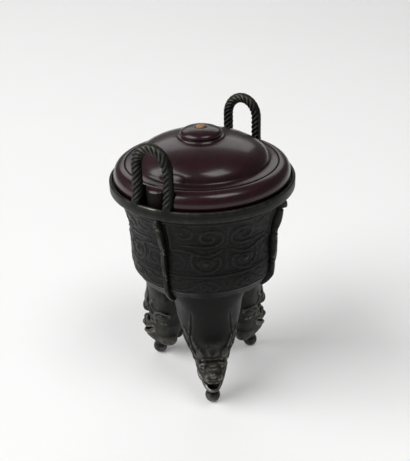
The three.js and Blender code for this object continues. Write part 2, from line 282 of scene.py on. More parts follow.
def tube(bm, points, radius, sides=10):
    """A round wire through points. The radius is one number or one for each point."""
    p = np.array(points, float)
    radii = np.broadcast_to(np.asarray(radius, float), (len(p),))
    along = np.gradient(p, axis=0)
    along /= np.linalg.norm(along, axis=1)[:, None]
    side = np.cross(along[0], (0.31, 0.17, 0.93))
    turn = np.arange(sides) * TAU / sides
    rings = []
    for point, way, r in zip(p, along, radii):
        side = side - way * np.dot(side, way)
        side /= np.linalg.norm(side)
        other = np.cross(way, side)
        rings.append([point + r * (math.cos(a) * side + math.sin(a) * other) for a in turn])
    skin(bm, rings)


def lump(bm, centre, radii, level=3):
    """A rounded lump: a ball stretched to three radii."""
    place = Matrix.Translation(centre) @ Matrix.Diagonal((*radii, 1))
    bmesh.ops.create_icosphere(bm, subdivisions=level, radius=1, matrix=place)


def slab(bm, outline, low, high, edge):
    """A plate between two planes along Y, from an outline in X and Z. Its edges may be rounded."""
    verts = [bm.verts.new((x, low, z)) for x, z in outline]
    face = bm.faces.new(verts)
    drawn = bmesh.ops.extrude_face_region(bm, geom=[face])["geom"]
    moved = [part for part in drawn if isinstance(part, bmesh.types.BMVert)]
    bmesh.ops.translate(bm, verts=moved, vec=(0, high - low, 0))
    body = verts + moved
    if edge:
        sides = {e for v in body for e in v.link_edges}
        flat = [e for e in sides if abs(e.verts[0].co.y - e.verts[1].co.y) < 1e-6]
        bmesh.ops.bevel(bm, geom=flat, offset=edge, offset_type="OFFSET", affect="EDGES",
                        segments=2, profile=0.5, material=-1, clamp_overlap=True)


def spun(profile, steps):
    """A turned body: the profile's (radius, height) points are spun once round the axis."""
    bm = bmesh.new()
    verts = [bm.verts.new((r, 0, z)) for r, z in profile]
    edges = [bm.edges.new(pair) for pair in zip(verts, verts[1:])]
    bmesh.ops.spin(bm, geom=verts + edges, cent=(0, 0, 0), axis=(0, 0, 1), dvec=(0, 0, 0),
                   angle=TAU, steps=steps, use_merge=True, use_duplicate=False)
    bmesh.ops.remove_doubles(bm, verts=bm.verts[:], dist=1e-4)
    bmesh.ops.recalc_face_normals(bm, faces=bm.faces[:])
    return bm


def rough_object(name, bm):
    """A working object in millimetres from a finished bmesh."""
    bmesh.ops.recalc_face_normals(bm, faces=bm.faces[:])
    mesh = bpy.data.meshes.new(name)
    bm.to_mesh(mesh)
    bm.free()
    obj = bpy.data.objects.new(name, mesh)
    bpy.context.scene.collection.objects.link(obj)
    return obj


def settle(obj):
    """Turns the object's modifiers into plain mesh."""
    bpy.context.view_layer.update()
    seen = obj.evaluated_get(bpy.context.evaluated_depsgraph_get())
    mesh = bpy.data.meshes.new_from_object(seen)
    old = obj.data
    obj.modifiers.clear()
    obj.data = mesh
    bpy.data.meshes.remove(old)


def combine(obj, others, operation):
    """Joins or cuts with closed working objects, which are used up."""
    for other in others:
        step = obj.modifiers.new(operation.lower(), "BOOLEAN")
        step.operation = operation
        step.solver = "MANIFOLD"
        step.object = other
    for body in (obj, *others):
        sides = sum(len(face.vertices) for face in body.data.polygons)
        if sides != 2 * len(body.data.edges):
            raise RuntimeError(body.name + " isn't closed, so it can't be joined or cut")
    settle(obj)
    for other in others:
        bpy.data.meshes.remove(other.data)


def turned_copy(obj, degrees):
    """A copy of a working object, turned round the bowl's axis."""
    mesh = obj.data.copy()
    mesh.transform(Matrix.Rotation(math.radians(degrees), 4, "Z"))
    copy = bpy.data.objects.new(obj.name, mesh)
    bpy.context.scene.collection.objects.link(copy)
    return copy


def arrays(mesh):
    """Places and normals of a mesh's points, and the pairs of points that its edges join."""
    count = len(mesh.vertices)
    place = np.empty(count * 3, np.float32)
    mesh.vertices.foreach_get("co", place)
    normal = np.empty(count * 3, np.float32)
    mesh.vertices.foreach_get("normal", normal)
    pairs = np.empty(len(mesh.edges) * 2, np.int32)
    mesh.edges.foreach_get("vertices", pairs)
    return place.reshape(-1, 3).astype(float), normal.reshape(-1, 3).astype(float), pairs.reshape(-1, 2)


def sharpness(mesh, rounds):
    """How far each point stands out from its surroundings: above 0 on edges, below 0 in hollows."""
    place, normal, pairs = arrays(mesh)
    a, b = pairs.T
    count = len(place)
    share = np.bincount(a, minlength=count) + np.bincount(b, minlength=count)
    share = np.maximum(share, 1)
    way = place[b] - place[a]
    away = np.maximum(np.linalg.norm(way, axis=1), 0.05)
    bend = np.bincount(a, -(way * normal[a]).sum(1) / away, count)
    bend += np.bincount(b, (way * normal[b]).sum(1) / away, count)
    bend /= share
    for _ in range(rounds):
        near = np.bincount(a, bend[b], count) + np.bincount(b, bend[a], count)
        bend = 0.5 * bend + 0.5 * near / share
    return bend


def store(mesh, name, values):
    """Keeps one number for each point, for the materials to read."""
    layer = mesh.attributes.new(name, "FLOAT", "POINT")
    layer.data.foreach_set("value", np.ascontiguousarray(values, np.float32))


def finish_piece(obj, name, node, material):
    """Brings a piece to metres, shades it, gives it its material and sets it in the frame."""
    mesh = obj.data
    mesh.transform(Matrix.Scale(MM, 4))
    bm = bmesh.new()
    bm.from_mesh(mesh)
    bmesh.ops.triangulate(bm, faces=[f for f in bm.faces if len(f.verts) > 4])
    limit = math.radians(SHARP_DEGREES)
    for face in bm.faces:
        face.smooth = True
    for edge in bm.edges:
        edge.smooth = edge.calc_face_angle(math.pi) < limit
    bm.to_mesh(mesh)
    bm.free()
    obj.name = name
    mesh.name = name
    mesh.materials.clear()
    mesh.materials.append(material)
    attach(obj, "root")
    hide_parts(node)


# Relief of the bowl

def line_mask(t, z, points, half, soft=0.32):
    """1 on the top of a raised line, 0 beyond its foot."""
    far = np.full(t.shape, 1e6)
    path = rounded_path(points)
    for (t0, z0), (t1, z1) in zip(path, path[1:]):
        dt, dz = t1 - t0, z1 - z0
        k = np.clip(((t - t0) * dt + (z - z0) * dz) / (dt * dt + dz * dz + 1e-12), 0, 1)
        far = np.minimum(far, np.hypot(t - t0 - k * dt, z - z0 - k * dz))
    k = fall(far, half + soft, 2 * soft)
    return k * k * (3 - 2 * k)


def relief_height(angle, z):
    """Relief on the bowl as a share of its rise, by angle round the bowl and height."""
    quarter = math.pi / 2
    turn = math.radians(FLANGE_TURNS[0])
    t = np.abs((angle - turn + quarter / 2) % quarter - quarter / 2) * MASK_RADIUS
    height = np.zeros(t.shape)
    for points, half, top in MASK_LINES + REGISTER_LINES:
        height = np.maximum(height, top * line_mask(t, z, points, half))
    for line, half, top in BORDER_LINES:
        height = np.maximum(height, top * fall(np.abs(z - line), half + 0.3, 0.6))
    # The eye: an oval rim round a lower field, with a domed pupil.
    t0, z0 = EYE_PLACE
    far = np.hypot((t - t0) / 4.6, (z - z0) / 2.7)
    height = np.maximum(height, fall(far, 1.12, 0.2))
    height = np.where(far < 0.78, 0.45, height)
    pupil = np.hypot((t - t0) / 2.1, (z - z0) / 1.9)
    height = np.maximum(height, 1.9 * np.sqrt(np.clip(1 - pupil * pupil, 0, 1)))
    t0, z0 = RING_PLACE
    ring = np.abs(np.hypot(t - t0, z - z0) - RING_RADIUS)
    return np.maximum(height, 0.8 * fall(ring, 0.75, 0.5))


def bowl_body(sizes):
    """The bowl with its rim band, ledge and hollow inside, and its relief pushed out of the wall."""
    rim = sizes.rim_radius / MM
    top = sizes.rim_top / MM
    outside = [(0, 66.5), (9, 66.52), (15.5, 66.8), (23, 67.8), (32, 70.4), (35.4, 72.4), (38.1, 74.6)]
    outside += [(38.45, 75), (38.9, 75.5), (39.15, 76), (39.3, 76.5), (40.05, 77.5)]
    outside += [(float(bowl_radius(z)), z) for z in (78.6, 79.8)]
    rows = np.linspace(80.6, RELIEF_TOP, 73)
    outside += [(float(bowl_radius(z)), float(z)) for z in rows]
    outside += [(48.4, 128.7), (48.75, 129.6), (49.2, 129.9), (51.9, top - 6.05), (52.3, top - 5.9)]
    outside += [(rim, top - 5.5), (rim, top - 2.8), (rim, top - 0.9), (rim - 0.22, top - 0.35)]
    outside += [(rim - 0.7, top - 0.08), (rim - 1.2, top)]
    inside = [(rim - 1.7, top - 0.1), (rim - 2.1, top - 0.5), (rim - 2.1, top - 1.9), (46, top - 1.9)]
    inside += [(45.4, top - 2.3), (45.4, 130), (43.9, 124), (42.2, 119), (40.6, 110), (40, 98)]
    inside += [(40.1, 88.5), (36.6, 79), (27, 73), (0, 71)]
    bm = spun(outside + inside, sizes.bowl_steps)
    relief = sizes.relief_rise / MM
    wall = [v for v in bm.verts if RELIEF_FOOT - 0.3 < v.co.z < RELIEF_TOP + 0.1
            and v.co.xy.length > float(bowl_radius(v.co.z)) - 0.6]
    angle = np.array([math.atan2(v.co.y, v.co.x) for v in wall])
    z = np.array([v.co.z for v in wall])
    for v, h in zip(wall, relief_height(angle, z)):
        grow = 1 + relief * h / v.co.xy.length
        v.co.x *= grow
        v.co.y *= grow
    return rough_object("bowl", bm)


def quad(a, b, c, steps=6):
    """Points on a bent line from a to c, pulled towards b, without its first point."""
    return [tuple((1 - u) ** 2 * p + 2 * u * (1 - u) * q + u * u * r for p, q, r in zip(a, b, c))
            for u in (np.arange(steps) + 1) / steps]


def flange_body():
    """One notched flange along +X: a hook under the rim over three lobes, with knobs at their ends."""
    edge = [(38.2, 71.8)]
    edge += quad((38.2, 71.8), (42.6, 75.4), (44.8, 80))
    edge += quad((44.8, 80), (45.9, 86), (45.3, 90.4))
    edge += [(44.5, 91.2), (45.2, 91.9)]
    edge += quad((45.2, 91.9), (47.5, 99.5), (46.4, 107.2))
    edge += [(45.5, 108.1), (46.3, 108.8)]
    edge += quad((46.3, 108.8), (49.6, 115.5), (49.7, 122.2))
    edge += [(48.8, 123.2)]
    edge += quad((48.8, 123.2), (50, 124.4), (51.8, 125), 3)
    edge += quad((51.8, 125), (52.2, 127.6), (50.8, 128.9), 4)
    edge += [(49.4, 130.4), (46.8, 130.4)]
    inner = [(float(bowl_radius(z)) - 1.5, z) for z in (121, 112, 98, 86, 80, 76, 73)]
    bm = bmesh.new()
    slab(bm, edge + inner, -FLANGE_HALF, FLANGE_HALF, 0.34)
    for height, out in FLANGE_KNOBS:
        for side in (-1, 1):
            lump(bm, (out, side * 0.75, height), (0.75, 0.65, 0.9), level=2)
    return rough_object("flange", bm)


def handle_body(sizes):
    """One loop handle on +X: a rope of five strands, rubbed smooth along its outer side."""
    path = [(-HANDLE_ARCH, z) for z in np.linspace(HANDLE_FOOT, HANDLE_CENTRE, 40)[:-1]]
    path += [(HANDLE_ARCH * math.cos(a), HANDLE_CENTRE + HANDLE_TALL * math.sin(a))
             for a in np.linspace(math.pi, 0, 70)]
    path += [(HANDLE_ARCH, z) for z in np.linspace(HANDLE_CENTRE, HANDLE_FOOT, 40)[1:]]
    path = np.array(path)
    run = np.concatenate([[0], np.cumsum(np.linalg.norm(np.diff(path, axis=0), axis=1))])
    steps = np.linspace(0, run[-1], 200)
    path = np.stack([np.interp(steps, run, path[:, 0]), np.interp(steps, run, path[:, 1])], axis=1)
    along = np.gradient(path, axis=0)
    along /= np.linalg.norm(along, axis=1)[:, None]
    out = np.stack([-along[:, 1], along[:, 0]], axis=1)

    def section(k, points):
        """Sets a section of the rope on the path. The foot of each post spreads outward to the rim."""
        spread = SPREAD * float(fall(path[k, 1], SPREAD_TOP, SPREAD_RUN))
        made = []
        for p, q in points:
            y = path[k, 0] + p * out[k, 0]
            x = HANDLE_PLANE + q + (spread * min(q / 1.5, 1) if q > 0 else 0)
            made.append((min(x, math.sqrt(SPREAD_LIMIT ** 2 - y * y)), y, path[k, 1] + p * out[k, 1]))
        return made

    groove = sizes.rope_groove / MM
    pitch = sizes.rope_pitch / MM
    rings = []
    for k in range(len(path)):
        shift = TAU * steps[k] / (ROPE_STRANDS * pitch)
        fade = float(rise(path[k, 1], ROPE_START, 3))
        points = []
        for n in range(ROPE_SIDES):
            a = TAU * n / ROPE_SIDES
            smooth = 1 - 0.85 * float(rise(math.cos(a), 0.5, 0.3))
            dip = smooth * fade * groove * (1 - abs(math.cos(0.5 * ROPE_STRANDS * (a - shift)))) ** 1.2
            points.append(((ROPE_RADIUS - dip) * math.cos(a) - 0.3, (ROPE_RADIUS - dip) * math.sin(a)))
        rings.append(section(k, points))
    bm = bmesh.new()
    skin(bm, rings)
    return rough_object("rope", bm)


# Legs

# Sides of the fine ring that points on a leg's surface are read from.
FINE_SIDES = 240
LEG_READ = [tuple((row[0], row[n]) for row in LEG) for n in range(1, 5)]


def leg_ring(z, sides):
    """Section of the leg at a height: a rounded box that narrows outward."""
    inner, outer, half, narrow = (float(curve_read(table, z)) for table in LEG_READ)
    a = (np.arange(sides) + 0.5) * TAU / sides
    out = np.sign(np.cos(a)) * np.abs(np.cos(a)) ** 0.8
    side = np.sign(np.sin(a)) * np.abs(np.sin(a)) ** 0.8
    x = (inner + outer) / 2 + (outer - inner) / 2 * out
    return np.stack([x, half * side * (1 - narrow * out), np.full(sides, z)], axis=1)


def leg_skin(z, s, lift):
    """A point on the outer face of a leg, at a height and a distance to the side."""
    ring = leg_ring(z, FINE_SIDES)
    face = ring[(ring[:, 0] > ring[:, 0].mean()) & (ring[:, 1] * (1 if s >= 0 else -1) >= 0)]
    order = np.argsort(np.abs(face[:, 1]))
    x = np.interp(abs(s), np.abs(face[order, 1]), face[order, 0])
    return (float(x) + lift, s, z)


def leg_side(x, z, lift, side):
    """A point on the flank of a leg, at a height and a distance from the axis."""
    ring = leg_ring(z, FINE_SIDES)
    flank = ring[ring[:, 1] > 0]
    order = np.argsort(flank[:, 0])
    return (x, side * (float(np.interp(x, flank[order, 0], flank[order, 1])) + lift), z)


def leg_body(sizes):
    """One beast-head leg on its ball foot, along +X."""
    heights = np.concatenate([np.linspace(5.6, 36, 52), np.linspace(36, 79.8, 40)[1:]])
    bm = bmesh.new()
    skin(bm, [leg_ring(z, 44) for z in heights])
    lump(bm, BALL_PLACE, (BALL_RADIUS,) * 3, level=4)
    crown = [leg_skin(z, s, lift) for z, s, lift in
             ((31.4, -7, 0), (34, -4.6, 0.4), (35.2, 0, 0.5), (34, 4.6, 0.4), (31.4, 7, 0))]
    tube(bm, rounded_path(crown), 0.85)
    lump(bm, (44.2, 0, 26), (1.7, 2.4, 1.8))
    for z, reach in ((28.6, 2.6), (30.2, 2.9)):
        wrinkle = [leg_skin(z + 0.3, -reach, -0.3), leg_skin(z, 0, -0.1), leg_skin(z + 0.3, reach, -0.3)]
        tube(bm, rounded_path(wrinkle), 0.45)
    for side in (-1, 1):
        head_half(bm, side)
    body = rough_object("leg", bm)
    recast(body, sizes.leg_voxel / MM)
    combine(body, leg_cutters(), "DIFFERENCE")
    recast(body, sizes.leg_voxel / MM)
    soft = body.modifiers.new("soft", "SMOOTH")
    soft.factor = 0.5
    soft.iterations = 2
    settle(body)
    thin = body.modifiers.new("thin", "DECIMATE")
    thin.ratio = LEG_TRIANGLES / sum(len(p.vertices) - 2 for p in body.data.polygons)
    settle(body)
    return body


def recast(obj, grain):
    """Melts overlapping bodies into one skin with an even mesh."""
    melt = obj.modifiers.new("cast", "REMESH")
    melt.mode = "VOXEL"
    melt.voxel_size = grain
    melt.use_smooth_shade = True
    settle(obj)


def head_half(bm, side):
    """One side of the head: eye, brows, cheek, muzzle, jaw, collar block, ear, hair and jowl."""
    def at(x, s, z):
        return (x, side * s, z)

    def flank(x, z, lift):
        return leg_side(x, z, lift, side)

    eye = leg_skin(29.6, side * 5.4, -0.6)
    lump(bm, eye, (1.7, 1.5, 1.5))
    lid = []
    for a in np.linspace(-0.6, TAU - 1.1, 22):
        x = eye[0] + 0.75 - 0.11 * math.cos(a)
        y = eye[1] + side * 2.25 * math.cos(a)
        lid.append((x - 0.28 * abs(y - eye[1]), y, eye[2] + 2.1 * math.sin(a)))
    tube(bm, lid, 0.62, 8)
    brow = [(32.2, 3.6, 0.1), (33, 5.8, 0.1), (32.4, 7.8, 0)]
    tube(bm, rounded_path([leg_skin(z, side * s, lift) for z, s, lift in brow]), 0.75)
    # Brow ridges of the shield, in pairs, and the smooth cheeks under them.
    for drop, radius in ((0, 1.0), (2.9, 0.8)):
        ridge = [(51, 12.6, -0.3), (47.4, 10.8, 0.05), (43.6, 8.6, 0.1), (40.6, 5.6, -0.3)]
        tube(bm, rounded_path([leg_skin(z - drop, side * s, lift) for z, s, lift in ridge]), radius)
    lump(bm, leg_skin(40, side * 6.2, -1.7), (3.0, 3.2, 4.6))
    # Muzzle: nostril wing, and the lip that curls back over the mouth.
    lump(bm, at(43, 3.3, 24), (2.4, 2.3, 2.2))
    lip = [flank(x, z, lift) for x, z, lift in
           ((42.6, 21.6, 0.1), (39.4, 23.4, 0.1), (36, 25.8, 0.1), (33, 26.6, 0))]
    tube(bm, rounded_path([at(45.2, 1.6, 20.9), *lip]), 0.7)
    # Lower jaw: a scooped leaf with a raised lip that curls up at the back, and low teeth.
    lip = [flank(x, z, lift) for x, z, lift in
           ((42.6, 16.4, 0), (39.4, 17.8, 0.1), (36, 20.2, 0.1), (33.2, 22.9, 0.1))]
    tube(bm, rounded_path([at(45.6, 0, 15.8), at(44.9, 2.2, 15.9), *lip]), 0.75)
    for x, z in ((43.6, 17), (41.8, 17.5), (40, 18.2)):
        lump(bm, flank(x, z, -0.6), (0.7, 0.6, 1.0), level=2)
    # Collar block with a raised rim.
    block = [(31.3, 31.2), (35.6, 31.4), (35.4, 37.4), (31.3, 37.8)]
    plate(bm, block, side, 0.35, 1.6)
    tube(bm, [flank(x, z, 0.5) for x, z in rounded_path(block + block[:1], 6)], 0.7, 8)
    # Leaf ear: a rolled rim and three ribs running back from the block, with two small bumps under it.
    ear = [(30.8, 36.4)]
    ear += quad(ear[-1], (30, 40.8), (27.4, 42.2))
    ear += quad(ear[-1], (22.6, 43.8), (20, 40.8))
    ear += quad(ear[-1], (19.4, 37.8), (22, 35.4))
    ear += quad(ear[-1], (26, 34.2), (30.8, 36.4))
    plate(bm, ear[:-1], side, 0.1, 1.6)
    tube(bm, [flank(x, z, 0.6) for x, z in ear[1:16]], 0.85, 8)
    for z0, x1, z1 in ((35.6, 23.4, 36.6), (36.9, 23.2, 38.4), (38.3, 23.6, 40.2)):
        line = rounded_path([(30.2, z0), (26.8, (z0 + z1) / 2 + 0.3), (x1, z1)])
        tube(bm, [flank(x, z, 0.35) for x, z in line], 0.62, 8)
    for x in (23.4, 26):
        lump(bm, flank(x, 32, -0.2), (1.1, 1.1, 1.1), level=2)
    # Locks of hair that rise behind the forehead.
    for x, z, top in ((33, 38.6, 49), (30.2, 42.4, 52)):
        lock = rounded_path([(x, z), (x + 1.2, z + 4), (x + 0.4, top - 2), (x - 1.6, top)])
        tube(bm, [flank(a, b, 0.05) for a, b in lock], 0.75, 8)
    # Smooth round jowl.
    lump(bm, at(27.2, 4.6, 17.6), (7.8, 4.1, 7.6), level=4)


def plate(bm, outline, side, top, sink):
    """A plate that follows the flank of a leg, from an outline in X and Z."""
    skin(bm, [[leg_side(x, z, lift, side) for x, z in outline] for lift in (-sink, top)])


def leg_cutters():
    """Bodies that cut a leg: mouth, grooves beside the shield, hollows of the head, and the floor."""
    bm = bmesh.new()
    mouth = [(33.2, 23.7), (36, 20.9), (40, 18.4), (44, 17), (50, 16.4), (50, 20.2), (44.5, 20),
             (41, 21.2), (38, 23.4), (35.4, 25.2), (33.2, 25.4)]
    slab(bm, mouth, -14, 14, 0)
    cutters = [rough_object("mouth", bm)]
    # Scoop of the lower jaw and of the shield, then nostril, cheek and temple on each side.
    places = [((41.8, 0, 17.2), (3.5, 3.1, 2.6)), ((45.5, 0, 40.6), (3.4, 3.2, 5.6))]
    edge = rounded_path([(36.6, 66), (35.2, 58), (34.6, 50), (35.2, 42.5), (37, 36.5)])
    widths = np.interp(np.arange(len(edge)), (0, 8, 20), (0.7, 1.35, 1.0))
    for side in (-1, 1):
        places.append(((45.3, side * 2.4, 24.2), (1.3, 0.75, 0.7)))
        places.append((leg_side(39.8, 27.6, 0.5, side), (1.2, 1.4, 1.0)))
        places.append((leg_side(37.6, 31, 0.6, side), (1.1, 2.0, 2.6)))
        bm = bmesh.new()
        tube(bm, [leg_side(x, z, 0.25, side) for x, z in edge], widths)
        cutters.append(rough_object("groove", bm))
    for centre, radii in places:
        bm = bmesh.new()
        lump(bm, centre, radii)
        cutters.append(rough_object("hollow", bm))
    bm = bmesh.new()
    below = Matrix.Translation((35, 0, -3)) @ Matrix.Diagonal((30, 30, 6, 1))
    bmesh.ops.create_cube(bm, size=1, matrix=below)
    cutters.append(rough_object("ground", bm))
    return cutters


# Materials

def node(tree, kind, links=None, **values):
    """Adds a node. Values set its fields, links its inputs: a number, a colour or another socket."""
    made = tree.nodes.new(kind)
    for name, value in values.items():
        setattr(made, name, value)
    for name, value in (links or {}).items():
        socket = made.inputs[name]
        if isinstance(value, bpy.types.NodeSocket):
            tree.links.new(value, socket)
        else:
            socket.default_value = value
    return made


def maths(tree, operation, a, b=None, clamp=False):
    links = {n: v for n, v in enumerate((a, b)) if v is not None}
    return node(tree, "ShaderNodeMath", links, operation=operation, use_clamp=clamp).outputs[0]


def blend(tree, factor, a, b):
    """Mixes two colours. The Mix node has its colour sockets at these places."""
    return node(tree, "ShaderNodeMix", {0: factor, 6: a, 7: b}, data_type="RGBA").outputs[2]


def overlay(tree, color, mask, share, other):
    """Brings another colour in where a mask is set, up to a share."""
    return blend(tree, maths(tree, "MULTIPLY", mask, share), color, other)


def ramp(tree, value, low, high, to_low=0.0, to_high=1.0):
    links = {"Value": value, "From Min": low, "From Max": high, "To Min": to_low, "To Max": to_high}
    return node(tree, "ShaderNodeMapRange", links, clamp=True).outputs[0]


def noise(tree, place, scale, detail, rough=0.5):
    links = {"Vector": place, "Scale": scale, "Detail": detail, "Roughness": rough}
    return node(tree, "ShaderNodeTexNoise", links).outputs[0]


def object_place(tree):
    return tree.nodes.new("ShaderNodeTexCoord").outputs["Object"]


def surface_age_group():
    """Shared effect: broken edge wear, cloudy stain and fine grain, from the piece's own edge attribute."""
    name = "Surface Age"
    if name in bpy.data.node_groups:
        return bpy.data.node_groups[name]
    number = "NodeSocketFloat"
    tree = bpy.data.node_groups.new(name, "ShaderNodeTree")
    for label in ("Edge", "Wear Scale", "Stain Scale", "Grain Scale"):
        tree.interface.new_socket(label, in_out="INPUT", socket_type=number)
    for label in ("Wear", "Stain", "Grain"):
        tree.interface.new_socket(label, in_out="OUTPUT", socket_type=number)
    given = tree.nodes.new("NodeGroupInput").outputs
    out = tree.nodes.new("NodeGroupOutput").inputs
    place = object_place(tree)
    patches = noise(tree, place, given["Wear Scale"], 4.0, 0.6)
    broken = ramp(tree, patches, 0.3, 0.66)
    tree.links.new(maths(tree, "MULTIPLY", given["Edge"], broken, clamp=True), out["Wear"])
    tree.links.new(ramp(tree, noise(tree, place, given["Stain Scale"], 5.0, 0.62), 0.32, 0.7), out["Stain"])
    tree.links.new(noise(tree, place, given["Grain Scale"], 3.0, 0.6), out["Grain"])
    return tree


def age_node(tree, edge, wear, stain, grain):
    """The shared effect in a material, with its three scales."""
    made = tree.nodes.new("ShaderNodeGroup")
    made.node_tree = surface_age_group()
    tree.links.new(edge, made.inputs["Edge"])
    for label, scale in (("Wear Scale", wear), ("Stain Scale", stain), ("Grain Scale", grain)):
        made.inputs[label].default_value = scale
    return made.outputs


def fresh_material(name):
    material = bpy.data.materials.new(name)
    material.use_nodes = True
    tree = material.node_tree
    tree.nodes.clear()
    shader = tree.nodes.new("ShaderNodeBsdfPrincipled")
    end = tree.nodes.new("ShaderNodeOutputMaterial")
    tree.links.new(shader.outputs[0], end.inputs[0])
    return material, tree, shader


def stretched(tree, place, scale, turn):
    """The place scaled along three axes, then turned round Z."""
    links = {"Vector": place, "Rotation": (0, 0, turn), "Scale": scale}
    return node(tree, "ShaderNodeMapping", links).outputs[0]


def attribute(tree, name):
    return node(tree, "ShaderNodeAttribute", attribute_name=name).outputs["Fac"]


def add_bump(tree, shader, height, strength):
    bump = node(tree, "ShaderNodeBump", {"Height": height, "Strength": strength, "Distance": 1.0})
    tree.links.new(bump.outputs[0], shader.inputs["Normal"])


def bronze_material(sizes):
    """Dark patinated bronze: olive where rubbed, grey on worn edges, and painted shade that makes the hollows
    near black.
    """
    material, tree, shader = fresh_material("patinated_bronze")
    place = object_place(tree)
    marks = ("edge", "ground", "rubbed", "raised", "hollow")
    edge, ground, rubbed, raised, hollow = (attribute(tree, name) for name in marks)
    age = age_node(tree, edge, 260.0, 60.0, 1500.0)
    dusty = (0.0175, 0.0175, 0.0172, 1)
    lifted = (0.03, 0.03, 0.0285, 1)
    olive = (0.032, 0.0305, 0.0225, 1)
    painted_hollow_shade = (0.0025, 0.0025, 0.0024, 1)
    color = overlay(tree, (*sizes.patina_color, 1), age["Stain"], 0.6, dusty)
    color = overlay(tree, color, raised, 0.18, lifted)
    color = overlay(tree, color, rubbed, 0.75, olive)
    # Painted shade: the hollows are darkened towards near black.
    color = overlay(tree, color, hollow, 0.55, painted_hollow_shade)
    worn = maths(tree, "MULTIPLY", age["Wear"], ramp(tree, rubbed, 0, 1, 0.5, 1.0), clamp=True)
    color = blend(tree, worn, color, (*sizes.worn_color, 1))
    tree.links.new(color, shader.inputs["Base Color"])
    cloudy = ramp(tree, age["Stain"], 0, 1, 0.4, 0.56)
    rough = maths(tree, "ADD", cloudy, ramp(tree, age["Grain"], 0.3, 0.7, -0.06, 0.06))
    rough = maths(tree, "SUBTRACT", rough, maths(tree, "MULTIPLY", worn, 0.12))
    tree.links.new(rough, shader.inputs["Roughness"])
    tree.links.new(ramp(tree, worn, 0, 1, 0.86, 0.96), shader.inputs["Metallic"])
    height = maths(tree, "MULTIPLY", thread_height(tree, place), maths(tree, "MULTIPLY", ground, 0.00018))
    height = maths(tree, "ADD", height, maths(tree, "MULTIPLY", age["Grain"], 0.00007))
    pits = ramp(tree, noise(tree, place, 420.0, 2.0), 0.6, 0.7, 0.0, -0.0001)
    add_bump(tree, shader, maths(tree, "ADD", height, pits), 0.9)
    return material


def thread_height(tree, place):
    """Fine raised threads running round the bowl, wavering and broken, between 0 and 1."""
    z = node(tree, "ShaderNodeSeparateXYZ", {0: place}).outputs[2]
    waver = maths(tree, "MULTIPLY", noise(tree, place, 70.0, 3.0), 3.2)
    row = maths(tree, "FRACT", maths(tree, "ADD", maths(tree, "MULTIPLY", z, 1 / 0.0012), waver))
    thread = ramp(tree, maths(tree, "ABSOLUTE", maths(tree, "SUBTRACT", row, 0.5)), 0.14, 0.36)
    breaks = ramp(tree, noise(tree, place, 210.0, 2.0), 0.36, 0.46)
    return maths(tree, "MULTIPLY", thread, breaks)


def hardwood_material(sizes):
    """Polished dark red-purple hardwood: fine long grain, dark veins and a waxed coat, bare in the cuts, with
    painted shade on the notch walls and in the grooves.
    """
    material, tree, shader = fresh_material("polished_hardwood")
    place = object_place(tree)
    edge, sawn = attribute(tree, "edge"), attribute(tree, "sawn")
    age = age_node(tree, edge, 180.0, 34.0, 700.0)
    fibre = noise(tree, stretched(tree, place, (60.0, 900.0, 420.0), GRAIN_TURN), 1.0, 5.0, 0.6)
    vein = noise(tree, stretched(tree, place, (14.0, 150.0, 90.0), GRAIN_TURN), 1.0, 4.0, 0.65)
    deep = (0.0058, 0.0019, 0.0027, 1)
    warm = (0.032, 0.0064, 0.0082, 1)
    pale = (0.07, 0.024, 0.022, 1)
    shade = (0.0016, 0.001, 0.001, 1)
    color = overlay(tree, (*sizes.hardwood_color, 1), ramp(tree, vein, 0.42, 0.72), 0.75, deep)
    color = blend(tree, ramp(tree, fibre, 0.45, 0.75, 0, 0.6), color, warm)
    color = overlay(tree, color, age["Wear"], 0.35, pale)
    color = overlay(tree, color, age["Stain"], 0.3, deep)
    # Painted shade: the notch walls and the grooves are darkened to near black.
    color = overlay(tree, color, sawn, 0.85, shade)
    tree.links.new(color, shader.inputs["Base Color"])
    rough = ramp(tree, fibre, 0.3, 0.75, 0.3, 0.42)
    rough = maths(tree, "ADD", rough, maths(tree, "MULTIPLY", sawn, 0.35))
    rough = maths(tree, "ADD", rough, maths(tree, "MULTIPLY", age["Stain"], 0.08))
    tree.links.new(rough, shader.inputs["Roughness"])
    coat = ramp(tree, age["Stain"], 0, 1, 0.7, 0.5)
    coat = maths(tree, "MULTIPLY", coat, ramp(tree, sawn, 0, 1, 1, 0))
    tree.links.new(coat, shader.inputs["Coat Weight"])
    shader.inputs["Coat Roughness"].default_value = 0.18
    shader.inputs["Specular IOR Level"].default_value = 0.14
    height = maths(tree, "MULTIPLY", fibre, 0.00003)
    height = maths(tree, "ADD", height, maths(tree, "MULTIPLY", age["Grain"], 0.000012))
    add_bump(tree, shader, height, 0.5)
    return material


def plug_material(sizes):
    """Dull amber-brown plug, stained darker in patches and scratched on top."""
    material, tree, shader = fresh_material("amber_plug")
    place = object_place(tree)
    age = age_node(tree, attribute(tree, "edge"), 500.0, 420.0, 2600.0)
    color = overlay(tree, (*sizes.plug_color, 1), age["Stain"], 0.75, (0.13, 0.06, 0.026, 1))
    color = overlay(tree, color, age["Wear"], 0.6, (0.6, 0.42, 0.24, 1))
    tree.links.new(color, shader.inputs["Base Color"])
    tree.links.new(ramp(tree, age["Grain"], 0.3, 0.7, 0.35, 0.55), shader.inputs["Roughness"])
    scratch = noise(tree, stretched(tree, place, (300, 2600, 300), 0), 1.0, 3.0)
    height = maths(tree, "MULTIPLY", maths(tree, "ADD", age["Grain"], scratch), 0.00004)
    add_bump(tree, shader, height, 0.6)
    return material


# Operators

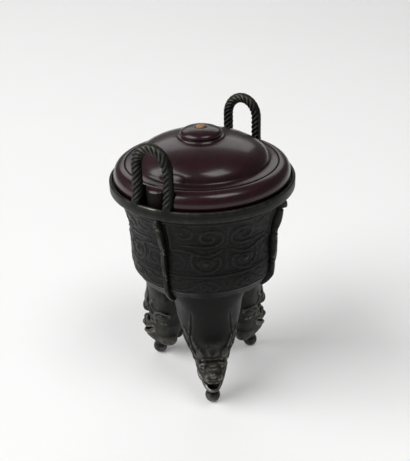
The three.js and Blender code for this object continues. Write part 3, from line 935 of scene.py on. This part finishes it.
class CENSER_OT_bronze(bpy.types.Operator):
    """Build the bronze casting: bowl, flanges, rope handles and beast-head legs in one body"""

    bl_idname = "censer.bronze"
    bl_label = "Bronze Casting"
    bl_options = {"REGISTER", "UNDO"}

    def execute(self, context):
        sizes = context.scene.censer_sizes
        body = bowl_body(sizes)
        flange = flange_body()
        handle = handle_body(sizes)
        leg = leg_body(sizes)
        parts = [turned_copy(flange, turn) for turn in FLANGE_TURNS]
        parts += [turned_copy(handle, turn) for turn in HANDLE_TURNS]
        legs = [turned_copy(leg, turn) for turn in LEG_TURNS]
        # The room inside the bowl is kept free of the legs' upper ends.
        bm = spun([(0, 71.3), (27, 73.3), (36.6, 79.3), (39.4, 84), (0, 84)], 64)
        room = rough_object("room", bm)
        for one in legs:
            combine(one, [turned_copy(room, 0)], "DIFFERENCE")
        for rough in (flange, handle, leg, room):
            bpy.data.meshes.remove(rough.data)
        combine(body, parts + legs, "UNION")
        self.mark(body.data)
        finish_piece(body, "bronze_casting_dressed", "bronze_casting", bronze_material(sizes))
        return {"FINISHED"}

    @staticmethod
    def mark(mesh):
        """Stores edges, hollows that get painted shade, the relief and its ground, and where hands have
        rubbed.
        """
        x, y, z = arrays(mesh)[0].T
        far = np.hypot(x, y)
        bend = sharpness(mesh, 2)
        edge = rise(bend, 0.05, 0.2)
        outside = bowl_radius(z)
        wall = (z > RELIEF_FOOT + 1) & (z < RELIEF_TOP - 1.4)
        wall &= (far > outside - 0.5) & (far < outside + 1.4)
        relief = wall * relief_height(np.arctan2(y, x), z)
        store(mesh, "ground", wall * np.clip(1 - 2.2 * relief, 0, 1))
        store(mesh, "raised", np.clip(relief, 0, 1))
        edge = np.where(wall, 0.35 * edge, edge)
        # The legs wear on softer edges than the rest.
        edge = np.where(z < LEG_TOP, rise(bend, 0.015, 0.07), edge)
        # The rim is rubbed bare between the posts of each handle.
        bare = 0.85 * fall(np.abs(y), 6.8, 2) * (far > 51.1) * rise(z, 134.9, 0.8) * (z < 136.2)
        store(mesh, "edge", np.maximum(edge, bare))
        # Hollows, which the bronze darkens as painted shade.
        store(mesh, "hollow", rise(-bend, 0.02, 0.1))
        arch = rise(z, 160, 8) * (far > 40)
        head = fall(z, 38, 6) * rise(z, 7, 5) * rise(far, 24, 6)
        store(mesh, "rubbed", np.maximum(np.maximum(arch, head), bare))


class CENSER_OT_cover(bpy.types.Operator):
    """Turn the hardwood cover, hollow it below and notch it for the two handles"""

    bl_idname = "censer.cover"
    bl_label = "Wooden Cover"
    bl_options = {"REGISTER", "UNDO"}

    def execute(self, context):
        sizes = context.scene.censer_sizes
        wide = sizes.cover_radius / MM
        cover = rough_object("cover", spun(self.profile(wide), 160))
        notch = self.notch()
        other = turned_copy(notch, 180)
        combine(cover, [notch, other], "DIFFERENCE")
        soften = cover.modifiers.new("arris", "BEVEL")
        soften.limit_method = "ANGLE"
        soften.angle_limit = math.radians(55)
        soften.width = 0.5
        soften.segments = 3
        settle(cover)
        self.mark(cover.data, wide)
        finish_piece(cover, "wooden_cover_dressed", "wooden_cover", hardwood_material(sizes))
        return {"FINISHED"}

    @staticmethod
    def profile(wide):
        """From the hollow's top round the tenon and the ring, over groove and dome, to the knob's hole."""
        points = [(0, 151), (14, 150.4), (26, 147.4), (34, 143.2), (38.6, 138.6), (39.5, 136), (39.6, 131.6)]
        points += [(39.9, 131.4), (43.8, 131.4), (44.1, 131.7), (44.1, 134.3), (44.3, SEAT)]
        ring = ((1.2, SEAT), (0.8, 134.6), (0.25, 135.8), (0, 137), (0.03, 138.4), (0.35, 140), (0.95, 141.4),
                (1.8, 142.6), (2.8, 143.4), (3.9, 143.95), (5, 144.3), (5.9, 144.42))
        groove = ((6.3, 144.3), (6.55, 143.7), (6.8, 143.3), (7.05, 143.7), (7.3, 144.3), (7.8, 144.45))
        points += [(wide - back, z) for back, z in ring + groove]
        points += [(40.4, 144.6), (38.8, 144.85), (38, 145.3), (37.55, 146), (37.3, 146.7)]
        points += [(36, 148.8), (34.4, 150.3), (32, 151.95), (28.8, 153.7), (25, 155.2), (20, 156.5)]
        points += [(16.4, 157.2), (13.8, 157.6), (13.2, 157.85), (12.9, 158.4), (12.5, 158.7), (11.7, 158.6)]
        points += [(11.4, 158.75), (11.5, 159.1), (11.75, 159.7), (11.5, 160.5), (10.8, 161.2), (9.6, 161.9)]
        points += [(7.8, 162.55), (5.4, 163.05), (3.4, 163.3), (3.12, 163.2), (3.1, 159.2), (0, 159.2)]
        return points

    @staticmethod
    def notch():
        """The body that cuts a notch for the handle on +X, and leaves the tongue in its loop."""
        corner = NOTCH_BACK + NOTCH_CORNER
        half = NOTCH_HALF - NOTCH_CORNER
        plan = [(NOTCH_OUTER, -NOTCH_HALF), (corner, -NOTCH_HALF)]
        plan += quad((corner, -NOTCH_HALF), (NOTCH_BACK, -NOTCH_HALF), (NOTCH_BACK, -half))
        plan += [(NOTCH_BACK, -TONGUE_HALF)]
        plan += quad((NOTCH_BACK, -TONGUE_HALF), (TONGUE_TIP, -TONGUE_PULL), (TONGUE_TIP, 0))
        plan += quad((TONGUE_TIP, 0), (TONGUE_TIP, TONGUE_PULL), (NOTCH_BACK, TONGUE_HALF))
        plan += [(NOTCH_BACK, half)]
        plan += quad((NOTCH_BACK, half), (NOTCH_BACK, NOTCH_HALF), (corner, NOTCH_HALF))
        plan += [(NOTCH_OUTER, NOTCH_HALF)]
        bm = bmesh.new()
        face = bm.faces.new([bm.verts.new((x, y, SEAT)) for x, y in plan])
        drawn = bmesh.ops.extrude_face_region(bm, geom=[face])["geom"]
        moved = [part for part in drawn if isinstance(part, bmesh.types.BMVert)]
        bmesh.ops.translate(bm, verts=moved, vec=(0, 0, 30))
        return rough_object("notch", bm)

    @staticmethod
    def mark(mesh, wide):
        """Stores edges that wear, and the notch walls and grooves, which are bare and get painted shade."""
        bend = sharpness(mesh, 1)
        place, normal, _ = arrays(mesh)
        x, y, z = place.T
        # The notch walls and the grooves are bare wood, and they get painted shade.
        sawn = (np.abs(x) > NOTCH_BACK - 0.5) & (np.abs(y) < NOTCH_HALF + 0.3) & (np.abs(normal[:, 2]) < 0.5)
        sawn &= (z > SEAT - 0.4) & (np.hypot(x, y) < wide - 0.6)
        store(mesh, "sawn", np.maximum(sawn, rise(-bend, 0.05, 0.15)))
        store(mesh, "edge", rise(bend, 0.08, 0.2))


class CENSER_OT_plug(bpy.types.Operator):
    """Turn the small amber-brown plug in the top of the knob"""

    bl_idname = "censer.plug"
    bl_label = "Knob Plug"
    bl_options = {"REGISTER", "UNDO"}

    def execute(self, context):
        sizes = context.scene.censer_sizes
        profile = [(0, 159.5), (2.5, 159.5), (2.8, 159.8), (2.8, 163.35), (2.68, 163.62), (2.4, 163.85)]
        profile += [(2.0, 163.98), (1.3, 164.05), (0.9, 163.98), (0.5, 164.05), (0, 164.1)]
        plug = rough_object("plug", spun(profile, 64))
        store(plug.data, "edge", rise(sharpness(plug.data, 1), 0.1, 0.2))
        finish_piece(plug, "knob_plug_dressed", "knob_plug", plug_material(sizes))
        return {"FINISHED"}


class CENSER_OT_stage(bpy.types.Operator):
    """Set the pale floor, the soft studio light and the camera at the photograph's angle"""

    bl_idname = "censer.stage"
    bl_label = "Stage"
    bl_options = {"REGISTER", "UNDO"}

    def execute(self, context):
        scene = context.scene
        self.floor(scene)
        world = bpy.data.worlds.new("studio")
        scene.world = world
        world.use_nodes = True
        sky = world.node_tree.nodes["Background"]
        sky.inputs[0].default_value = (1, 1, 1, 1)
        # The world is pale where the camera sees it, and lights the scene only a little.
        seen = world.node_tree.nodes.new("ShaderNodeLightPath").outputs["Is Camera Ray"]
        world.node_tree.links.new(ramp(world.node_tree, seen, 0, 1, 0.1, 0.8), sky.inputs[1])
        near = (0, 0, 0.08)
        self.lamp(scene, "left_box", (-1.9, 1.6, 2.2), (2.9, 2.9), 120.0, near)
        self.lamp(scene, "right_box", (-0.24, -0.86, 1.97), (0.95, 0.95), 14.0, near)
        far = (1.0, 0.63, 0)
        self.lamp(scene, "back_sheet", (1.9, 1.2, 1.4), (2.6, 1.1), 12.0, far)
        self.camera(scene)
        scene.view_settings.view_transform = "Standard"
        return {"FINISHED"}

    @staticmethod
    def floor(scene):
        bm = bmesh.new()
        bmesh.ops.create_grid(bm, x_segments=1, y_segments=1, size=4)
        mesh = bpy.data.meshes.new("floor")
        bm.to_mesh(mesh)
        bm.free()
        obj = bpy.data.objects.new("floor", mesh)
        scene.collection.objects.link(obj)
        material, tree, shader = fresh_material("pale_floor")
        base = (*scene.censer_sizes.floor_color, 1)
        tint = blend(tree, noise(tree, object_place(tree), 9.0, 3.0), base, (0.84, 0.84, 0.835, 1))
        tree.links.new(tint, shader.inputs["Base Color"])
        shader.inputs["Roughness"].default_value = 0.7
        # The floor glows a little: painted light that brightens its far end and lifts the shadows on it.
        shader.inputs["Emission Color"].default_value = (1, 1, 1, 1)
        shader.inputs["Emission Strength"].default_value = 0.1
        mesh.materials.append(material)

    @staticmethod
    def lamp(scene, name, place, size, watts, target):
        data = bpy.data.lights.new(name, "AREA")
        data.shape = "RECTANGLE"
        data.size, data.size_y = size
        data.energy = watts
        obj = bpy.data.objects.new(name, data)
        obj.location = place
        obj.rotation_mode = "QUATERNION"
        obj.rotation_quaternion = (Vector(target) - Vector(place)).to_track_quat("-Z", "Y")
        scene.collection.objects.link(obj)

    @staticmethod
    def camera(scene):
        data = bpy.data.cameras.new("view")
        data.sensor_width = SENSOR
        data.lens = LENS
        obj = bpy.data.objects.new("view", data)
        scene.collection.objects.link(obj)
        ahead = Vector(VIEW_AHEAD).normalized()
        right = Vector(VIEW_RIGHT).normalized()
        up = right.cross(ahead)
        roll = math.radians(VIEW_ROLL)
        across = right * math.cos(roll) + up * math.sin(roll)
        upward = up * math.cos(roll) - right * math.sin(roll)
        turn = Matrix((across, upward, -ahead)).transposed().to_4x4()
        obj.matrix_world = Matrix.Translation(VIEW_PLACE) @ turn
        scene.camera = obj


class CENSER_PT_panel(bpy.types.Panel):
    """Lists the censer's pieces and sizes"""

    bl_idname = "CENSER_PT_panel"
    bl_label = "Bronze Tripod Censer"
    bl_space_type = "VIEW_3D"
    bl_region_type = "UI"
    bl_category = "Censer"

    def draw(self, context):
        for name in ("censer.bronze", "censer.cover", "censer.plug", "censer.stage"):
            self.layout.operator(name)
        sizes = context.scene.censer_sizes
        for name in CenserSizes.__annotations__:
            self.layout.prop(sizes, name)


CLASSES = (CenserSizes, CENSER_OT_bronze, CENSER_OT_cover, CENSER_OT_plug, CENSER_OT_stage, CENSER_PT_panel)


def register():
    for kind in CLASSES:
        bpy.utils.register_class(kind)
    bpy.types.Scene.censer_sizes = PointerProperty(type=CenserSizes)


def unregister():
    del bpy.types.Scene.censer_sizes
    for kind in reversed(CLASSES):
        bpy.utils.unregister_class(kind)


def main():
    register()
    bpy.ops.censer.bronze()
    bpy.ops.censer.cover()
    bpy.ops.censer.plug()
    bpy.ops.censer.stage()


if __name__ == "__main__":
    main()
